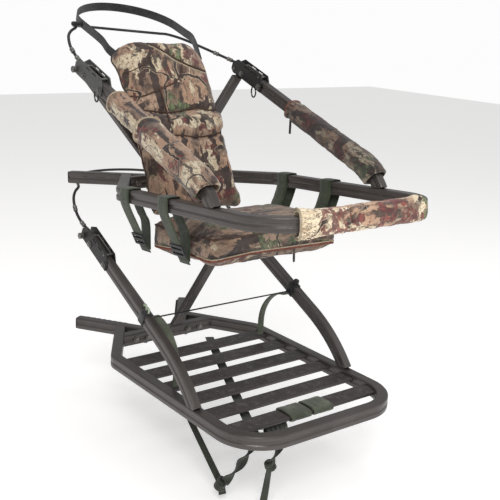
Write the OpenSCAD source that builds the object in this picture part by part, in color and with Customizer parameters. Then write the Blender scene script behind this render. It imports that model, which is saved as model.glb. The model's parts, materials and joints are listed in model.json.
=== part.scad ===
// Two-section climbing tree stand: a foot platform and a seat frame, each hung on the
// trunk by a cable and a pair of gripping horns.
// Origin: top of the platform's front edge, on the centre line. -Y is forward (away from
// the trunk), +X is the sitter's left, +Z is up.

/* [Piece shown] */
// Which piece to draw

/* [Rails] */
// Width of the rail extrusion
rail_w = 30; // [26:1:34]
// Height of the rail extrusion
rail_h = 34; // [30:1:38]
// Depth of the groove along each side of the extrusion
groove_d = 2.6; // [1.5:0.1:3.2]

/* [Platform] */
// Half the overall width of the platform
plat_half_w = 254; // [245:1:262]
// Outer radius of the platform's front corners
plat_corner_r = 120; // [105:1:135]
// Distance from the front edge to where the side rails bend in
plat_bend_y = 598; // [585:1:610]
// Width of one deck slat, front to back
slat_w = 52; // [46:1:58]
// Thickness of a deck slat
slat_t = 9; // [7:0.5:12]
// Drop of the slat tops below the rail tops
slat_drop = 7; // [5:0.5:10]
// Distance from one slat to the next
slat_pitch = 92.7; // [90:0.1:94]
// Front edge of the first slat
slat_first_y = 75; // [74:1:80]

/* [Seat section] */
// Half the overall width of the seat frame
seat_half_w = 266; // [260:1:272]
// Outer radius of the seat frame's front corners
seat_corner_r = 135; // [125:1:145]
// Distance from the seat frame's front edge to where its rails bend in
seat_bend_y = 617; // [608:1:626]
// Height of the seat rails above the platform top
seat_z = 503; // [470:1:540]
// How far the seat frame reaches forward of the platform
seat_fwd = 64; // [50:1:78]
// Angle the seat section slopes up towards its front
seat_tilt = 4.3; // [3:0.1:5.5]

/* [Trunk hold] */
// Radius of the trunk the horns and cables are set for
trunk_r = 148; // [146:1:150]
// Distance from the platform's front edge to the trunk's centre
trunk_y = 965; // [962:1:968]
// Angle of each gripping horn from straight back
horn_angle = 34.4; // [33:0.1:36]
// Diameter of the coated cable
cable_d = 8; // [6:0.5:10]

/* [Soft goods] */
// Diameter of the padded arm sleeves
sleeve_d = 58; // [54:1:62]
// Thickness of the seat cushion
cushion_t = 86; // [78:1:92]
// Thickness of the backrest pad
back_t = 62; // [54:1:66]
// Width of the seat hanger webbing
web_w = 44; // [38:1:48]

/* [Hidden] */
$fn = 40;
gap = 0.2;                       // clearance between welded neighbours
step = 0.2;                      // a straight length is this much slimmer than the bend it runs into
lap = 1;                         // and starts this far inside it
corner_seg = 3;                  // facets in an extrusion's small corner round
bend_r = 45;                     // centreline radius of the rails' inward bend
bend_a = 32;                     // angle of that bend
arm_w = 22;                      // arm tube width across X
arm_h = 34;                      // arm tube depth
plate_t = 3;                     // bracket side plate thickness
plat_apex_y = trunk_y - (trunk_r + 7 + rail_w / 2) / sin(horn_angle);
seat_trunk_y = trunk_y + seat_fwd;
seat_apex_y = seat_trunk_y - (trunk_r + 7 + rail_w / 2) / sin(horn_angle) + 2;
plat_cross_y = plat_apex_y + 74;
seat_cross_y = seat_apex_y + 74;
plat_horn_l = 329;
seat_horn_l = 352;
plat_arm_x = 243;
seat_arm_x = 254;
// arm paths: foot y, foot heading, final heading, bend radius, y of the top end
plat_arm = [222, 52, 25.5, 400, 745];
seat_arm = [222, 60, 23.8, 140, 800];
plat_climb = 22;                 // slope of the platform cable, which passes under the seat horns
seat_climb = 23;                 // slope of the seat cable
steel = [0.18, 0.18, 0.18];
frame_grey = [0.36, 0.34, 0.33];
web_green = [0.18, 0.24, 0.13];
pad_camo = [0.55, 0.47, 0.38];
pad_green = [0.40, 0.43, 0.37];
black = [0.06, 0.06, 0.06];

// ---- placing -------------------------------------------------------------------------
module plat() { translate([0, 0, -rail_h / 2]) children(); }
module seat() { translate([0, -seat_fwd, seat_z]) rotate([-seat_tilt, 0, 0]) children(); }
module pair() { children(); mirror([1, 0, 0]) children(); }
module side(s) { if (s > 0) children(); else mirror([1, 0, 0]) children(); }

// ---- shared profiles -----------------------------------------------------------------
function arc(cx, cy, r, a0, a1, n) =
  [for (i = [0:n]) [cx + r * cos(a0 + (a1 - a0) * i / n), cy + r * sin(a0 + (a1 - a0) * i / n)]];

// Double-channel outline: rounded corners and a concave groove along each side
module rail_2d(w, h, r = 4, gh = 5.5, gd = groove_d) {
  gr = (gh * gh + gd * gd) / (2 * gd);
  gc = w / 2 - gd + gr;
  ga = asin(gh / gr);
  right = concat(arc(w / 2 - r, r - h / 2, r, -90, 0, corner_seg), arc(gc, 0, gr, 180 + ga, 180 - ga, 4),
    arc(w / 2 - r, h / 2 - r, r, 0, 90, corner_seg));
  n = len(right);
  polygon(concat(right, [for (i = [0:n - 1]) [-right[n - 1 - i][0], right[n - 1 - i][1]]]));
}

module round_rect(w, h, r, seg = 4) {
  polygon(concat(arc(w / 2 - r, h / 2 - r, r, 0, 90, seg), arc(r - w / 2, h / 2 - r, r, 90, 180, seg),
    arc(r - w / 2, r - h / 2, r, 180, 270, seg), arc(w / 2 - r, r - h / 2, r, 270, 360, seg)));
}

// Straight bar of the 2D child along +Y from the origin
module along_y(l) { translate([0, l, 0]) rotate([90, 0, 0]) linear_extrude(l) children(); }
// Straight bar of the 2D child along +X, centred
module along_x(l) { translate([-l / 2, 0, 0]) rotate([90, 0, 90]) linear_extrude(l) children(); }

// ---- frames --------------------------------------------------------------------------
// Frame of the bent-in rail on the +X side, at the end of its bend
module bent_frame(hw, by) {
  cx = hw - rail_w / 2;
  translate([cx - bend_r + bend_r * cos(bend_a), by + bend_r * sin(bend_a), 0])
    rotate([0, 0, bend_a]) children();
}

// Local frame of the +X gripping horn: origin at the two horns' virtual meeting point
module horn_frame(ay) { translate([0, ay, 0]) rotate([0, 0, -horn_angle]) children(); }

module u_frame(hw, ro, by, ay) {
  cx = hw - rail_w / 2;
  rc = ro - rail_w / 2;
  cy = rail_w / 2 + rc;
  union() {
    translate([0, rail_w / 2, 0]) along_x(2 * (cx - rc)) rail_2d(rail_w, rail_h);
    pair() {
      translate([cx - rc, cy, 0]) rotate([0, 0, -90]) rotate_extrude(angle = 90)
        translate([rc, 0]) rail_2d(rail_w, rail_h);
      translate([cx, cy, 0]) along_y(by - cy) rail_2d(rail_w, rail_h);
      translate([cx - bend_r, by, 0]) rotate_extrude(angle = bend_a)
        translate([bend_r, 0]) rail_2d(rail_w, rail_h);
      difference() {
        bent_frame(hw, by) translate([0, -lap, 0]) along_y(300) rail_2d(rail_w - step, rail_h - step);
        horn_frame(ay) translate([-330, -200, -rail_h]) cube([330 + rail_w / 2 + gap, 1100, 2 * rail_h]);
      }
    }
  }
}

// Rear cross bar with the two gripping horns welded behind it, flaring round the trunk
module yoke(hw, by, ay, cy, hl) {
  union() {
    difference() {
      translate([0, cy, 0]) along_x(2 * hw - 60) rail_2d(rail_w, rail_h);
      pair() bent_frame(hw, by) translate([-rail_w / 2 - gap, -200, -rail_h]) cube([400, 700, 2 * rail_h]);
    }
    difference() {
      pair() horn_frame(ay) translate([0, 60, 0]) along_y(hl - 60) rail_2d(rail_w, rail_h);
      translate([-200, cy - 200, -rail_h]) cube([400, 200, 2 * rail_h]);
    }
  }
}

// Ribbed rubber strips on the inside of the horns, bearing on the trunk
module grip_strips(ay) {
  pair() horn_frame(ay) union() {
    translate([-rail_w / 2 - 2.5, 176, 3 - rail_h / 2]) cube([2.5, 140, rail_h - 6]);
    for (i = [0:7]) translate([-rail_w / 2 - 6, 178 + i * 17.5, 3 - rail_h / 2])
      cube([4, 11, rail_h - 6]);
  }
}

// Plugs that close the horns' open ends
module end_caps(ay, hl) {
  pair() horn_frame(ay) translate([0, hl + gap, 0]) union() {
    along_y(3) round_rect(rail_w - 1, rail_h - 1, 5);
    translate([0, 3, 0]) along_y(2) round_rect(rail_w - 8, rail_h - 8, 4);
  }
}

// ---- arms and braces -----------------------------------------------------------------
function arm_c(p) = [p[0] + p[3] * sin(p[1]), rail_h / 2 - p[3] * cos(p[1])];
function arm_knee(p) = [arm_c(p)[0] - p[3] * sin(p[2]), arm_c(p)[1] + p[3] * cos(p[2])];
function arm_top(p) = [p[4], arm_knee(p)[1] + (p[4] - arm_knee(p)[0]) * tan(p[2])];

function arm_point(p, back, up) = [arm_top(p)[0] - back * cos(p[2]) - up * sin(p[2]),
  arm_top(p)[1] - back * sin(p[2]) + up * cos(p[2])];

// Frame at distance back from the arm's top end: +Y along the arm, +Z across it
module arm_frame(p, x, back = 0) {
  t = arm_top(p);
  translate([x, t[0], t[1]]) rotate([p[2], 0, 0]) translate([0, -back, 0]) children();
}

module arm(p, x) {
  c = arm_c(p);
  k = arm_knee(p);
  run = (p[4] - k[0]) / cos(p[2]);
  difference() {
    union() {
      translate([x, c[0], c[1]]) rotate([90, 0, 90]) rotate([0, 0, p[2] + 90])
        rotate_extrude(angle = p[1] - p[2] + 6 * 40 / p[3]) translate([p[3], 0]) rotate([0, 0, 90])
          rail_2d(arm_w, arm_h, 4, 5, 2);
      translate([x, k[0], k[1]]) rotate([p[2], 0, 0]) translate([0, -lap, 0])
        along_y(run + lap) rail_2d(arm_w - step, arm_h - step, 4, 5, 2);
    }
    translate([x - 40, p[0] - 120, rail_h / 2 + gap - 80]) cube([80, 240, 80]);
  }
}

// Brace from under the arm's top end, leaning in to the rear cross bar
module brace(p, x, cy) {
  top = arm_top(p);
  dx = x - 34;
  dz = top[1] - rail_h / 2;
  lean = atan(dx / dz);
  len = sqrt(dx * dx + dz * dz);
  difference() {
    translate([34, cy, rail_h / 2]) rotate([0, lean, 0]) translate([0, 0, -30])
      linear_extrude(len + 60) rail_2d(26, 22, 4, 4.5, 1.8);
    translate([-100, cy - 60, -200 + rail_h / 2 + gap]) cube([300, 120, 200]);
    arm_frame(p, x) translate([-150, -200, -arm_h / 2 - gap]) cube([300, 500, 200]);
  }
}

// ---- cable hardware, in the frame of an arm's top end ----------------------------------
br_l = 120;        // side plate length down the arm
br_up = 30;        // plate top above the arm's centre line
latch_back = 98;   // latch pivot distance below the arm's top end
latch_z = 23;      // latch pivot height above the arm's centre line
pin_y = 17;        // lock pin distance past the arm's top end
wire_r = 3;        // latch wire radius
pin_r = 4;         // lock pin radius
plate_x = arm_w / 2 + gap + plate_t / 2;
cable_y = 21;      // where the cable starts past the arm's top end
cable_z = 12;      // and how far above the arm's centre line

module plate_2d() {
  difference() {
    polygon([[-br_l, -14], [20, -14], [32, -6], [32, 14], [10, br_up], [-br_l + 14, br_up], [-br_l, 12]]);
    for (i = [0, 1]) translate([-38 - i * 34, br_up - 6]) square([22, 4], center = true);
  }
}
module bracket(p, x) {
  arm_frame(p, x) difference() {
    union() {
      for (s = [-1, 1]) translate([s * plate_x - plate_t / 2, 0, 0]) rotate([90, 0, 90])
        linear_extrude(plate_t) plate_2d();
      translate([-plate_x, 3, -14]) cube([2 * plate_x, 22, 5]);
    }
    translate([-30, -latch_back, latch_z]) rotate([0, 90, 0]) cylinder(r = wire_r + 0.05, h = 60);
    translate([-30, pin_y, -1]) rotate([0, 90, 0]) cylinder(r = pin_r + 0.05, h = 60);
  }
}

// Wire bail that drops over the cable stops
module latch(p, x) {
  ln = 82;
  arm_frame(p, x) translate([0, -latch_back, latch_z]) union() {
    translate([-16, 0, 0]) rotate([0, 90, 0]) cylinder(r = wire_r, h = 32);
    for (s = [-1, 1]) translate([s * 8, 0, 0]) rotate([-90, 0, 0]) cylinder(r = 2.6, h = ln);
    translate([-8, ln, 0]) rotate([0, 90, 0]) cylinder(r = 2.6, h = 16);
    for (s = [-1, 1]) translate([s * 8, ln, 0]) sphere(r = 2.6);
  }
}

// Spring lock pin with a knurled head, pulled outward to free the cable
module lock_pin(p, x) {
  arm_frame(p, x) translate([0, pin_y, -1]) rotate([0, 90, 0]) union() {
    translate([0, 0, -17]) cylinder(r = pin_r, h = 36);
    translate([0, 0, 17]) cylinder(r = 7, h = 3);
    translate([0, 0, 19.5]) cylinder(r = 8.5, h = 9, $fn = 12);
    translate([0, 0, 28]) cylinder(r1 = 7, r2 = 5, h = 2.5);
  }
}

// Cord loop hanging under a bracket
module loop(p, x) {
  arm_frame(p, x, 62) translate([0, 0, -31.2]) rotate([90, 0, 0])
    rotate_extrude() translate([12, 0]) square([3.5, 5], center = true);
}

// Cable: straight runs in from both brackets, tangent to an arc behind the trunk, all in one
// plane that climbs towards the back
function cable_start(p) = let (t = arm_top(p), a = p[2])
  [t[0] + cable_y * cos(a) - cable_z * sin(a), t[1] + cable_y * sin(a) + cable_z * cos(a)];
cable_arc_r = trunk_r + 14;
function cable_d0(p, ty, climb) = (ty - cable_start(p)[0]) / cos(climb);
function cable_in(p, x, ty, climb) = let (d = cable_d0(p, ty, climb), l = sqrt(x * x + d * d))
  asin(cable_arc_r / l);
function cable_run(p, x, ty, climb) = let (d = cable_d0(p, ty, climb))
  sqrt(x * x + d * d - cable_arc_r * cable_arc_r);
// Angle of the run from straight back, turning in towards the trunk
function cable_turn(p, x, ty, climb) = atan(x / cable_d0(p, ty, climb)) - cable_in(p, x, ty, climb);

module cable_frame(p, climb) {
  c = cable_start(p);
  translate([0, c[0], c[1]]) rotate([climb, 0, 0]) children();
}
module cable(p, x, ty, climb) {
  d = cable_d0(p, ty, climb);
  t = cable_turn(p, x, ty, climb);
  run = cable_run(p, x, ty, climb);
  cable_frame(p, climb) union() {
    pair() translate([x, 0, 0]) rotate([0, 0, t]) rotate([-90, 0, 0])
      cylinder(d = cable_d - step, h = run + lap);
    translate([0, d, 0]) rotate([0, 0, t]) rotate_extrude(angle = 180 - 2 * t)
      translate([cable_arc_r, 0]) circle(d = cable_d);
  }
}
module cable_stops(p, x, ty, climb) {
  t = cable_turn(p, x, ty, climb);
  cable_frame(p, climb) pair() translate([x, 0, 0]) rotate([0, 0, t])
    for (y = [40, 84]) translate([0, y, 0]) rotate([-90, 0, 0]) difference() {
      cylinder(r = cable_d / 2 + 3, h = 20);
      translate([0, 0, -1]) cylinder(r = cable_d / 2 + 0.05, h = 22);
    }
}

// Hex head with washer, axis along +Z, underside at the origin
module bolt_head(r = 6.5) {
  translate([0, 0, 0.05]) union() {
    cylinder(r = r + 2.5, h = 1.5);
    cylinder(r = r, h = 5.5, $fn = 6);
  }
}
module bolts(p, x, cy) {
  pair() {
    for (s = [-1, 1]) arm_frame(p, x) for (y = [-20, -108]) translate([s * (plate_x + plate_t / 2), y, -2])
      rotate([0, s * 90, 0]) bolt_head();
    for (dx = [70, 110]) translate([dx, cy - rail_w / 2, 0]) rotate([90, 0, 0]) bolt_head();
    translate([70, cy, -rail_h / 2]) rotate([180, 0, 0]) bolt_head();
  }
}

// ---- platform pieces -----------------------------------------------------------------
module platform_frame() { color(frame_grey) plat() u_frame(plat_half_w, plat_corner_r, plat_bend_y, plat_apex_y); }
module platform_yoke() { color(frame_grey) plat() yoke(plat_half_w, plat_bend_y, plat_apex_y, plat_cross_y, plat_horn_l); }
module platform_grips() { color(black) plat() grip_strips(plat_apex_y); }
module platform_end_caps() { color(black) plat() end_caps(plat_apex_y, plat_horn_l); }

// One slat's section: rounded edges and fine lengthways grooves on top
module slat_2d() {
  difference() {
    round_rect(slat_w, slat_t, 3);
    for (i = [-3:3]) translate([i * slat_w / 9, slat_t / 2]) square([1.6, 1.4], center = true);
  }
}
module deck_slats() {
  ir = plat_corner_r - rail_w - gap;
  ic = plat_half_w - plat_corner_r;
  color(frame_grey) intersection() {
    for (i = [0:5]) translate([0, slat_first_y + slat_w / 2 + i * slat_pitch, -slat_drop - slat_t / 2])
      along_x(2 * plat_half_w) slat_2d();
    translate([0, 0, -50]) linear_extrude(100) union() {
      translate([-plat_half_w + rail_w + gap, plat_corner_r]) square([2 * (plat_half_w - rail_w - gap), 600]);
      translate([-ic, rail_w + gap]) square([2 * ic, 200]);
      for (s = [-1, 1]) translate([s * ic, plat_corner_r]) circle(r = ir);
    }
  }
}
module platform_arm_left() { color(frame_grey) plat() arm(plat_arm, plat_arm_x); }
module platform_arm_right() { mirror([1, 0, 0]) platform_arm_left(); }
module platform_brace_left() { color(frame_grey) plat() brace(plat_arm, plat_arm_x, plat_cross_y); }
module platform_brace_right() { mirror([1, 0, 0]) platform_brace_left(); }
module platform_bracket_left() { color(black) plat() bracket(plat_arm, plat_arm_x); }
module platform_bracket_right() { mirror([1, 0, 0]) platform_bracket_left(); }
module platform_latch_left() { color(steel) plat() latch(plat_arm, plat_arm_x); }
module platform_latch_right() { mirror([1, 0, 0]) platform_latch_left(); }
module platform_pin_left() { color(steel) plat() lock_pin(plat_arm, plat_arm_x); }
module platform_pin_right() { mirror([1, 0, 0]) platform_pin_left(); }
module platform_cable() { color(black) plat() cable(plat_arm, plat_arm_x, trunk_y, plat_climb); }
module platform_cable_stops() { color(steel) plat() cable_stops(plat_arm, plat_arm_x, trunk_y, plat_climb); }
module platform_bolts() { color(steel) plat() bolts(plat_arm, plat_arm_x, plat_cross_y); }

// Two webbing sleeves round the front slat, each clear of it
module toe_pads() {
  cy = slat_first_y + slat_w / 2;
  color(pad_green) for (x = [-36, 34]) difference() {
    translate([x, cy, -slat_drop - slat_t / 2]) along_x(62) round_rect(slat_w + 14, slat_t + 13, 9);
    translate([x, cy, -slat_drop - slat_t / 2]) along_x(70) round_rect(slat_w + 3, slat_t + 3, 4);
  }
}
// Coiled spare webbing tied under the toe pads
module toe_strap_coil() {
  color(black) for (i = [0:4]) translate([-132 + i * 15, slat_first_y + 16, -31])
    rotate([0, 90, 0]) rotate_extrude() translate([11, 0]) square([4, 8], center = true);
}
// Half-arch of webbing: cross-section swept round an arc in a plane of constant X
module arch(r, a0, a1) {
  rotate([90, 0, 90]) rotate([0, 0, a0]) rotate_extrude(angle = a1 - a0)
    translate([r, 0]) square([5, 20], center = true);
}
heel_r = 118;
collar_back = 335;
cord_r = 2;
cord = arm_point(plat_arm, collar_back - 12, -6) - [0, rail_h / 2];
loop_z = 34;
// Loop with the eye it hangs by, dy being the eye's distance behind the arch's centre
module heel_loop(dy) {
  difference() {
    union() {
      arch(heel_r, 0, 82);
      translate([-10, heel_r - 2.5, -40.5]) cube([20, 5, 41]);
      translate([-10, dy, cord[1] - loop_z]) rotate([0, 90, 0]) cylinder(r = 5, h = 20);
    }
    translate([-20, dy, cord[1] - loop_z]) rotate([0, 90, 0]) cylinder(r = cord_r + 0.1, h = 40);
  }
}
module heel_loop_left() { color(pad_green) translate([206, 428, loop_z]) heel_loop(cord[0] - 428); }
module heel_loop_right() {
  color(pad_green) translate([-206, 478, loop_z]) mirror([0, 1, 0]) heel_loop(478 - cord[0]);
}
// Webbing collars round the arms that carry the cord
module stirrup_hooks() {
  color(black) plat() pair() arm_frame(plat_arm, plat_arm_x, collar_back) union() {
    difference() {
      along_y(24) round_rect(arm_w + 8, arm_h + 8, 6);
      translate([0, -1, 0]) along_y(26) round_rect(arm_w + 1, arm_h + 1, 2);
    }
    translate([0, 12, arm_h / 2 + 4.5]) cylinder(r = 8, h = 10);
    translate([-arm_w / 2 - 9, 12, -6]) rotate([0, 90, 0]) cylinder(r = 6, h = 5.5);
  }
}
module stirrup_cord() {
  w = plat_arm_x - arm_w / 2 - 9.5;
  color(black) translate([-w, cord[0], cord[1]]) rotate([0, 90, 0]) cylinder(r = cord_r, h = 2 * w);
}
// Flat strap under the slats, far rear corner to near front corner
module transport_strap() {
  a = [112, 672];
  b = [-168, 72];
  l = norm(a - b);
  color(web_green) translate([b[0], b[1], -rail_h - 3]) rotate([0, 0, -atan2(a[0] - b[0], a[1] - b[1])])
    translate([-13, 0, 0]) cube([26, l, 2.4]);
}
// Three hanging straps under the near front corner
module tether_straps() {
  color(web_green) {
    for (q = [[-222, 262, -27], [-205, 62, 26], [-158, 30, 30]])
      translate([q[0], q[1], -rail_h - 1]) rotate([q[2], 0, 0])
        translate([-13, -1.2, -190]) cube([26, 2.4, 188]);
  }
}

// ---- seat pieces ---------------------------------------------------------------------
module seat_frame() { color(frame_grey) seat() u_frame(seat_half_w, seat_corner_r, seat_bend_y, seat_apex_y); }
module seat_yoke() { color(frame_grey) seat() yoke(seat_half_w, seat_bend_y, seat_apex_y, seat_cross_y, seat_horn_l); }
module seat_grips() { color(black) seat() grip_strips(seat_apex_y); }
module seat_end_caps() { color(black) seat() end_caps(seat_apex_y, seat_horn_l); }
module seat_arm_left() { color(frame_grey) seat() arm(seat_arm, seat_arm_x); }
module seat_arm_right() { mirror([1, 0, 0]) seat_arm_left(); }
module seat_brace_left() { color(frame_grey) seat() brace(seat_arm, seat_arm_x, seat_cross_y); }
module seat_brace_right() { mirror([1, 0, 0]) seat_brace_left(); }
module seat_bracket_left() { color(black) seat() bracket(seat_arm, seat_arm_x); }
module seat_bracket_right() { mirror([1, 0, 0]) seat_bracket_left(); }
module seat_latch_left() { color(steel) seat() latch(seat_arm, seat_arm_x); }
module seat_latch_right() { mirror([1, 0, 0]) seat_latch_left(); }
module seat_pin_left() { color(steel) seat() lock_pin(seat_arm, seat_arm_x); }
module seat_pin_right() { mirror([1, 0, 0]) seat_pin_left(); }
module pull_loops() { color(black) seat() pair() loop(seat_arm, seat_arm_x); }
module seat_cable() { color(black) seat() cable(seat_arm, seat_arm_x, seat_trunk_y, seat_climb); }
module seat_cable_stops() { color(steel) seat() cable_stops(seat_arm, seat_arm_x, seat_trunk_y, seat_climb); }
module seat_bolts() { color(steel) seat() bolts(seat_arm, seat_arm_x, seat_cross_y); }

// Hand knob on the seat's rear cross bar
module throat_knob() {
  color(black) seat() translate([0, seat_cross_y, rail_h / 2 + 0.1]) union() {
    cylinder(r = 7, h = 6);
    translate([0, 0, 5]) difference() {
      cylinder(r = 14, h = 12);
      for (a = [0:60:300]) rotate([0, 0, a]) translate([17, 0, -1]) cylinder(r = 5, h = 14);
    }
  }
}

// Padded tube round an arm, from one distance below the arm's top end to another
module sleeve(d, from, to) {
  seat() arm_frame(seat_arm, seat_arm_x, to) rotate([-90, 0, 0]) difference() {
    cylinder(d = d, h = to - from);
    translate([0, 0, -1]) cylinder(r = 21.5, h = to - from + 2);
  }
}
module arm_sleeve_left() { color(pad_camo) sleeve(sleeve_d, 245, 566); }
module arm_sleeve_right() { color(pad_camo) mirror([1, 0, 0]) sleeve(sleeve_d + 4, 322, 566); }
module arm_sleeve_right_upper() { color(pad_camo) mirror([1, 0, 0]) sleeve(sleeve_d - 6, 172, 314); }

// Padded sleeve over the front bar
module front_bar_pad() {
  l = 2 * (seat_half_w - seat_corner_r) - 4;
  color(pad_camo) seat() translate([0, rail_w / 2, 0]) difference() {
    along_x(l) round_rect(rail_w + 24, rail_h + 24, 14);
    along_x(l + 2) round_rect(rail_w + 2, rail_h + 2, 4);
  }
}

cushion_half_w = 208;
cushion_back = 590;
cushion_len = 283;
cushion_low = -146;
module seat_cushion() {
  color(pad_camo) seat() translate([0, cushion_back - cushion_len / 2, cushion_low + cushion_t / 2])
    along_x(2 * cushion_half_w) round_rect(cushion_len, cushion_t, 30);
}

// Webbing loop over a rail and down to the cushion's lower side edge, in the XZ plane
strap_y = [404, 584];
module strap_2d() {
  xi = seat_half_w - rail_w;
  xo = seat_half_w;
  h = rail_h / 2;
  cw = cushion_half_w + 1;
  difference() {
    polygon([[cw, cushion_low], [cw + 4, cushion_low], [xo + 2.6, -h - 1], [xo + 2.6, h + 2.6],
      [xi - 2.6, h + 2.6], [xi - 2.6, -h - 1], [cw, -62]]);
    polygon([[cw + 2, cushion_low + 6], [cw + 3, cushion_low + 6], [xo + 0.4, -h - 0.6], [xo + 0.4, h + 0.4],
      [xi - 0.4, h + 0.4], [xi - 0.4, -h - 1.4], [cw + 2, -63]]);
  }
}
module hanger_straps_left() {
  color(web_green) seat() for (y = strap_y) translate([0, y + web_w / 2, 0]) rotate([90, 0, 0])
    linear_extrude(web_w) strap_2d();
}
module hanger_straps_right() { mirror([1, 0, 0]) hanger_straps_left(); }

// Slide buckles lying on the outer ply of each hanger strap
module strap_buckles() {
  run = [seat_half_w + 2.6 - cushion_half_w - 5, cushion_low + rail_h / 2 + 1];
  a = atan2(run[0], -run[1]);
  color(black) seat() pair() for (y = strap_y)
    translate([cushion_half_w + 5, y, cushion_low]) rotate([0, a, 0]) translate([0.3, 0, 22]) difference() {
      translate([0, -web_w / 2 - 4, 0]) cube([4, web_w + 8, 32]);
      translate([-1, -web_w / 2, 6]) cube([6, web_w, 6]);
      translate([-1, -web_w / 2, 20]) cube([6, web_w, 6]);
    }
}

// Backrest pad: lower half leans on the braces' line, upper half leans back to the trunk
module backrest() {
  front = [[612, -62], [717, 181], [808, 396]];
  rear = [for (q = front) [q[0] + back_t - 6, q[1]]];
  color(pad_camo) seat() translate([-146, 0, 0]) rotate([90, 0, 90]) linear_extrude(292)
    polygon([front[0], rear[0], rear[1], rear[2], front[2], front[1]]);
}

// Strap from the backrest's top corners round the trunk, with its buckle
module backrest_strap() {
  climb = 18;
  r = trunk_r + 8;
  y0 = 824;
  d = (trunk_y - y0) / cos(climb);
  color(black) translate([0, y0, 812]) rotate([climb, 0, 0]) union() {
    pair() translate([r - 1.25, 0, -12.5]) cube([2.5, d + 1, 25]);
    translate([0, d, 0]) rotate_extrude(angle = 180) translate([r, 0]) square([2.5, 25], center = true);
    translate([-r - 32, d - 6, -7]) cube([33, 12, 14]);
  }
}

// Zipper slider's pull tab below the left sleeve
module zipper_pull() {
  q = arm_point(seat_arm, 262, -sleeve_d / 2 - 3.6);
  color(black) seat() translate([seat_arm_x, q[0], q[1]]) rotate([seat_tilt, 0, 0]) union() {
    translate([-2, 0, 0]) rotate([0, 90, 0]) cylinder(r = 3, h = 4);
    translate([-1.2, -3.5, -36]) cube([2.4, 7, 35]);
  }
}

// ---- drawing ---------------------------------------------------------------------------
platform_frame();
platform_yoke();
deck_slats();
platform_grips();
platform_end_caps();
platform_arm_left();
platform_arm_right();
platform_brace_left();
platform_brace_right();
platform_bracket_left();
platform_bracket_right();
platform_latch_left();
platform_latch_right();
platform_pin_left();
platform_pin_right();
platform_cable();
platform_cable_stops();
platform_bolts();
toe_pads();
toe_strap_coil();
heel_loop_left();
heel_loop_right();
stirrup_hooks();
stirrup_cord();
transport_strap();
tether_straps();
seat_frame();
seat_yoke();
seat_grips();
seat_end_caps();
seat_arm_left();
seat_arm_right();
seat_brace_left();
seat_brace_right();
seat_bracket_left();
seat_bracket_right();
seat_latch_left();
seat_latch_right();
seat_pin_left();
seat_pin_right();
pull_loops();
seat_cable();
seat_cable_stops();
seat_bolts();
throat_knob();
arm_sleeve_left();
arm_sleeve_right();
arm_sleeve_right_upper();
front_bar_pad();
seat_cushion();
hanger_straps_left();
hanger_straps_right();
strap_buckles();
backrest();
backrest_strap();
zipper_pull();
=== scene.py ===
"""Looks of the climbing tree stand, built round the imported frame."""
import json
import math

import bpy
import bmesh
from mathutils import Matrix, Vector, noise
from mathutils.bvhtree import BVHTree


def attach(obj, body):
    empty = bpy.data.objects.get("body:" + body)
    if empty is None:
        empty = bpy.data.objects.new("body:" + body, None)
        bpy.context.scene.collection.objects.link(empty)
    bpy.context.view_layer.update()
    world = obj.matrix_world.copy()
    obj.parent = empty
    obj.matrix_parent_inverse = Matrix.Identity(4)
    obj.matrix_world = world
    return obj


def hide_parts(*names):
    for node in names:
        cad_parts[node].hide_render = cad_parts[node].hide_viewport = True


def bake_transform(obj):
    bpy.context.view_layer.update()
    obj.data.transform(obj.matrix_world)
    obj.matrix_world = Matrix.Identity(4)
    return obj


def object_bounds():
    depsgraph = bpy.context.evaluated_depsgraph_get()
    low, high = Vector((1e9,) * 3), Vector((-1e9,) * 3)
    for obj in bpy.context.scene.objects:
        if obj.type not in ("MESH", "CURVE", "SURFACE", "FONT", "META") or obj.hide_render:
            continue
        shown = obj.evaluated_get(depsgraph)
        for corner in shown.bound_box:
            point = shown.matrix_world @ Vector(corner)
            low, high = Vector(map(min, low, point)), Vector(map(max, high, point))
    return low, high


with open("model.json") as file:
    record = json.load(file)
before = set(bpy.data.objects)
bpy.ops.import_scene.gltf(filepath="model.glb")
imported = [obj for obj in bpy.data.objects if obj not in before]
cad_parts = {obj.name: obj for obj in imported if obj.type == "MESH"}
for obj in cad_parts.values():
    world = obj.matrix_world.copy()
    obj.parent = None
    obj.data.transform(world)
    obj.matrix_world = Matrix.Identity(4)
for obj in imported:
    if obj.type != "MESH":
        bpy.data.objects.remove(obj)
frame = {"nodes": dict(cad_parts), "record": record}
cad_lo, cad_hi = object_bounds()
MM = 0.001
TRUNK_Y = 965  # centre of the absent trunk, mm behind the front edge
CORD_AT = 323  # where the stirrup cord crosses each platform arm, mm from the arm's top end

# ---- placing: each section's own millimetres to the shared frame --------------------------
TILT = math.radians(4.3)
SEAT_ORIGIN = (-64, 503)  # y and z of the seat section's own origin, mm
RAIL_H = 34.0


def seat(x, y, z):
    c, s = math.cos(TILT), math.sin(TILT)
    return Vector((x, SEAT_ORIGIN[0] + y * c + z * s, SEAT_ORIGIN[1] - y * s + z * c)) * MM


def deck(x, y, z):
    return Vector((x, y, z - RAIL_H / 2)) * MM


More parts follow.
